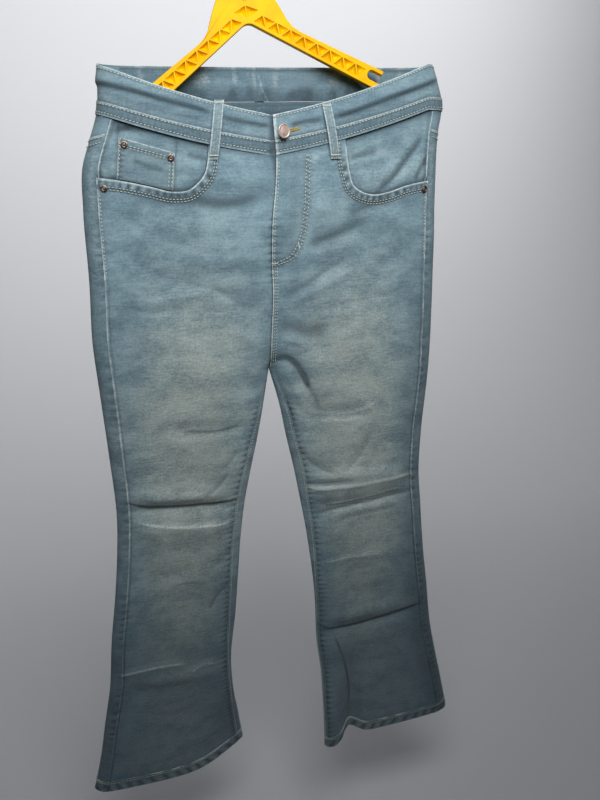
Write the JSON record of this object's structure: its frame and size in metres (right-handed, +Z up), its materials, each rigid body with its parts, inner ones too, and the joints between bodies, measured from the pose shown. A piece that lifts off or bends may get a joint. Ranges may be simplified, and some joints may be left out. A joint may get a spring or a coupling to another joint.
{
  "type": "bootcut jeans on a hanger",
  "caption": "Low-waisted denim trousers, slim to the knee and flared below, hung open at waist and hems from a flat plastic hanger that stands inside the waistband.",
  "frame": {"origin": "where the inside of the hanger's hook rests on its rail", "axes": "+Z up, +X to the right of someone who faces the front of the garment, +Y from front to back"},
  "size_m": [0.6118, 0.0777, 1.2158],
  "materials": {
    "denim": "washed light blue stretch denim, faded over the thighs and knees",
    "button_metal": "satin coppery metal",
    "rivet_metal": "dull coppery metal",
    "hanger_plastic": "yellow moulded plastic"
  },
  "bodies": {
    "root": {"front_panel_right": "denim", "front_panel_left": "denim", "back_panel_right": "denim", "back_panel_left": "denim", "yoke_right": "denim", "yoke_left": "denim", "waistband_right": "denim", "waistband_left": "denim", "waistband_back": "denim", "lower_band_right": "denim", "lower_band_left": "denim", "lower_band_back": "denim", "pocket_facing_right": "denim", "pocket_facing_left": "denim", "coin_pocket": "denim", "back_pocket_right": "denim", "back_pocket_left": "denim", "belt_loop_front_right": "denim", "belt_loop_front_left": "denim", "belt_loop_back_right": "denim", "belt_loop_back_centre": "denim", "belt_loop_back_left": "denim", "hem_right": "denim", "hem_left": "denim", "button": "button_metal", "rivet_pocket_right": "rivet_metal", "rivet_pocket_left": "rivet_metal", "rivet_coin_outer": "rivet_metal", "rivet_coin_inner": "rivet_metal", "hanger": "hanger_plastic"}
  },
  "joints": []
}
